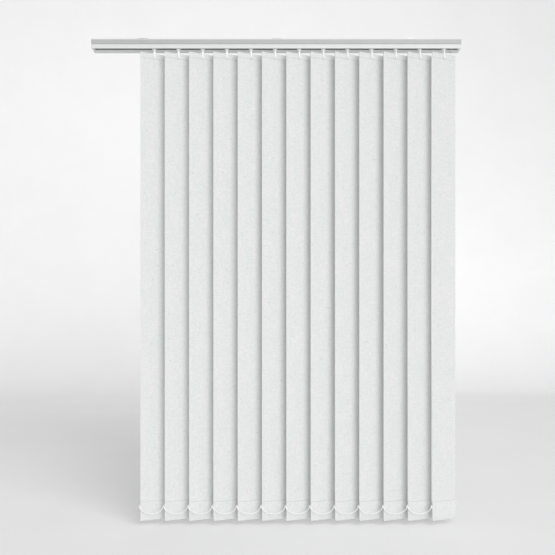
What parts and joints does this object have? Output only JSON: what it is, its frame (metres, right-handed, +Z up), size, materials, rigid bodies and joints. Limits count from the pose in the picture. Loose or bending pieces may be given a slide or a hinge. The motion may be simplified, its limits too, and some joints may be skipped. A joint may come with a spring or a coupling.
{
  "type": "vertical blind",
  "caption": "Vertical blind: a white headrail with hanging fabric slats on turning hooks, bottom weights and a linking chain; the slats tilt together and draw aside along the rail.",
  "frame": {"origin": "screw hole of the middle bracket, on the plane that the brackets are screwed to", "axes": "+X along the rail, +Y away from the room towards the window, +Z up"},
  "size_m": [1.19, 0.0496, 1.5535],
  "materials": {
    "rail_paint": "white powder coat on aluminium",
    "cap_plastic": "white moulded plastic",
    "carrier_plastic": "white moulded plastic",
    "rod_metal": "mill finish",
    "bracket_steel": "plated spring steel",
    "hook_plastic": "white moulded plastic",
    "slat_fabric": "stiffened woven fabric with slubs",
    "weight_plastic": "white moulded plastic",
    "chain_plastic": "white beads"
  },
  "bodies": {
    "root": {"headrail": "rail_paint", "idle_end_cap": "cap_plastic", "control_end_cap": "cap_plastic", "fixing_brackets": "bracket_steel", "carrier_13": "carrier_plastic"},
    "tilt_rod": {"tilt_rod": "rod_metal", "chain_wheel": "carrier_plastic"},
    "carrier_1": {"carrier_1": "carrier_plastic"},
    "carrier_2": {"carrier_2": "carrier_plastic"},
    "carrier_3": {"carrier_3": "carrier_plastic"},
    "carrier_4": {"carrier_4": "carrier_plastic"},
    "carrier_5": {"carrier_5": "carrier_plastic"},
    "carrier_6": {"carrier_6": "carrier_plastic"},
    "carrier_7": {"carrier_7": "carrier_plastic"},
    "carrier_8": {"carrier_8": "carrier_plastic"},
    "carrier_9": {"carrier_9": "carrier_plastic"},
    "carrier_10": {"carrier_10": "carrier_plastic"},
    "carrier_11": {"carrier_11": "carrier_plastic"},
    "carrier_12": {"carrier_12": "carrier_plastic"},
    "louvre_1": {"hook_1": "hook_plastic", "slat_1": "slat_fabric", "weight_1": "weight_plastic"},
    "louvre_2": {"hook_2": "hook_plastic", "slat_2": "slat_fabric", "weight_2": "weight_plastic"},
    "louvre_3": {"hook_3": "hook_plastic", "slat_3": "slat_fabric", "weight_3": "weight_plastic"},
    "louvre_4": {"hook_4": "hook_plastic", "slat_4": "slat_fabric", "weight_4": "weight_plastic"},
    "louvre_5": {"hook_5": "hook_plastic", "slat_5": "slat_fabric", "weight_5": "weight_plastic"},
    "louvre_6": {"hook_6": "hook_plastic", "slat_6": "slat_fabric", "weight_6": "weight_plastic"},
    "louvre_7": {"hook_7": "hook_plastic", "slat_7": "slat_fabric", "weight_7": "weight_plastic"},
    "louvre_8": {"hook_8": "hook_plastic", "slat_8": "slat_fabric", "weight_8": "weight_plastic"},
    "louvre_9": {"hook_9": "hook_plastic", "slat_9": "slat_fabric", "weight_9": "weight_plastic"},
    "louvre_10": {"hook_10": "hook_plastic", "slat_10": "slat_fabric", "weight_10": "weight_plastic"},
    "louvre_11": {"hook_11": "hook_plastic", "slat_11": "slat_fabric", "weight_11": "weight_plastic"},
    "louvre_12": {"hook_12": "hook_plastic", "slat_12": "slat_fabric", "weight_12": "weight_plastic"},
    "louvre_13": {"hook_13": "hook_plastic", "slat_13": "slat_fabric", "weight_13": "weight_plastic"},
    "chain": {"front_chain": "chain_plastic"}
  },
  "joints": [
    {"name": "draw", "type": "slide", "parent": "root", "child": "carrier_1", "axis": [1, 0, 0], "range_m": [0, 0.744], "deforming": ["front_chain"]},
    {"name": "draw_2", "type": "slide", "parent": "root", "child": "carrier_2", "axis": [1, 0, 0], "range_m": [0, 0.68201]},
    {"name": "draw_3", "type": "slide", "parent": "root", "child": "carrier_3", "axis": [1, 0, 0], "range_m": [0, 0.62001]},
    {"name": "draw_4", "type": "slide", "parent": "root", "child": "carrier_4", "axis": [1, 0, 0], "range_m": [0, 0.55801]},
    {"name": "draw_5", "type": "slide", "parent": "root", "child": "carrier_5", "axis": [1, 0, 0], "range_m": [0, 0.49601]},
    {"name": "draw_6", "type": "slide", "parent": "root", "child": "carrier_6", "axis": [1, 0, 0], "range_m": [0, 0.43401]},
    {"name": "draw_7", "type": "slide", "parent": "root", "child": "carrier_7", "axis": [1, 0, 0], "range_m": [0, 0.37201]},
    {"name": "draw_8", "type": "slide", "parent": "root", "child": "carrier_8", "axis": [1, 0, 0], "range_m": [0, 0.31001]},
    {"name": "draw_9", "type": "slide", "parent": "root", "child": "carrier_9", "axis": [1, 0, 0], "range_m": [0, 0.24801]},
    {"name": "draw_10", "type": "slide", "parent": "root", "child": "carrier_10", "axis": [1, 0, 0], "range_m": [0, 0.18601]},
    {"name": "draw_11", "type": "slide", "parent": "root", "child": "carrier_11", "axis": [1, 0, 0], "range_m": [0, 0.12401]},
    {"name": "draw_12", "type": "slide", "parent": "root", "child": "carrier_12", "axis": [1, 0, 0], "range_m": [0, 0.06201]},
    {"name": "tilt_1", "type": "hinge", "parent": "carrier_1", "child": "louvre_1", "pos_m": [-0.394, -0.0065, -0.0475], "axis": [0, 0, 1], "range_deg": [0, 140]},
    {"name": "tilt_2", "type": "hinge", "parent": "carrier_2", "child": "louvre_2", "pos_m": [-0.316, -0.0065, -0.0475], "axis": [0, 0, 1], "range_deg": [0, 140]},
    {"name": "tilt_3", "type": "hinge", "parent": "carrier_3", "child": "louvre_3", "pos_m": [-0.238, -0.0065, -0.0475], "axis": [0, 0, 1], "range_deg": [0, 140]},
    {"name": "tilt_4", "type": "hinge", "parent": "carrier_4", "child": "louvre_4", "pos_m": [-0.16, -0.0065, -0.0475], "axis": [0, 0, 1], "range_deg": [0, 140]},
    {"name": "tilt_5", "type": "hinge", "parent": "carrier_5", "child": "louvre_5", "pos_m": [-0.082, -0.0065, -0.0475], "axis": [0, 0, 1], "range_deg": [0, 140]},
    {"name": "tilt_6", "type": "hinge", "parent": "carrier_6", "child": "louvre_6", "pos_m": [-0.004, -0.0065, -0.0475], "axis": [0, 0, 1], "range_deg": [0, 140]},
    {"name": "tilt_7", "type": "hinge", "parent": "carrier_7", "child": "louvre_7", "pos_m": [0.074, -0.0065, -0.0475], "axis": [0, 0, 1], "range_deg": [0, 140]},
    {"name": "tilt_8", "type": "hinge", "parent": "carrier_8", "child": "louvre_8", "pos_m": [0.152, -0.0065, -0.0475], "axis": [0, 0, 1], "range_deg": [0, 140]},
    {"name": "tilt_9", "type": "hinge", "parent": "carrier_9", "child": "louvre_9", "pos_m": [0.23, -0.0065, -0.0475], "axis": [0, 0, 1], "range_deg": [0, 140]},
    {"name": "tilt_10", "type": "hinge", "parent": "carrier_10", "child": "louvre_10", "pos_m": [0.308, -0.0065, -0.0475], "axis": [0, 0, 1], "range_deg": [0, 140]},
    {"name": "tilt_11", "type": "hinge", "parent": "carrier_11", "child": "louvre_11", "pos_m": [0.386, -0.0065, -0.0475], "axis": [0, 0, 1], "range_deg": [0, 140]},
    {"name": "tilt_12", "type": "hinge", "parent": "carrier_12", "child": "louvre_12", "pos_m": [0.464, -0.0065, -0.0475], "axis": [0, 0, 1], "range_deg": [0, 140]},
    {"name": "tilt", "type": "hinge", "parent": "root", "child": "louvre_13", "pos_m": [0.542, -0.0065, -0.0475], "axis": [0, 0, 1], "range_deg": [0, 140]},
    {"name": "rod_spin", "type": "hinge", "parent": "root", "child": "tilt_rod", "pos_m": [0, 0.00395, -0.022], "axis": [1, 0, 0], "range_deg": [0, 840]},
    {"name": "chain_swing", "type": "hinge", "parent": "louvre_13", "child": "chain", "pos_m": [0.49746, -0.02271, -1.5059], "axis": [0, 0, 1], "range_deg": [-140, 0]}
  ],
  "couplings": [
    {"joint": "draw_2", "follows": "draw", "ratio": 0.91667},
    {"joint": "draw_3", "follows": "draw", "ratio": 0.83333},
    {"joint": "draw_4", "follows": "draw", "ratio": 0.75},
    {"joint": "draw_5", "follows": "draw", "ratio": 0.66667},
    {"joint": "draw_6", "follows": "draw", "ratio": 0.58333},
    {"joint": "draw_7", "follows": "draw", "ratio": 0.5},
    {"joint": "draw_8", "follows": "draw", "ratio": 0.41667},
    {"joint": "draw_9", "follows": "draw", "ratio": 0.33333},
    {"joint": "draw_10", "follows": "draw", "ratio": 0.25},
    {"joint": "draw_11", "follows": "draw", "ratio": 0.16667},
    {"joint": "draw_12", "follows": "draw", "ratio": 0.083333},
    {"joint": "tilt_1", "follows": "tilt", "ratio": 1},
    {"joint": "tilt_2", "follows": "tilt", "ratio": 1},
    {"joint": "tilt_3", "follows": "tilt", "ratio": 1},
    {"joint": "tilt_4", "follows": "tilt", "ratio": 1},
    {"joint": "tilt_5", "follows": "tilt", "ratio": 1},
    {"joint": "tilt_6", "follows": "tilt", "ratio": 1},
    {"joint": "tilt_7", "follows": "tilt", "ratio": 1},
    {"joint": "tilt_8", "follows": "tilt", "ratio": 1},
    {"joint": "tilt_9", "follows": "tilt", "ratio": 1},
    {"joint": "tilt_10", "follows": "tilt", "ratio": 1},
    {"joint": "tilt_11", "follows": "tilt", "ratio": 1},
    {"joint": "tilt_12", "follows": "tilt", "ratio": 1},
    {"joint": "rod_spin", "follows": "tilt", "ratio": 6},
    {"joint": "chain_swing", "follows": "tilt", "ratio": -1}
  ]
}
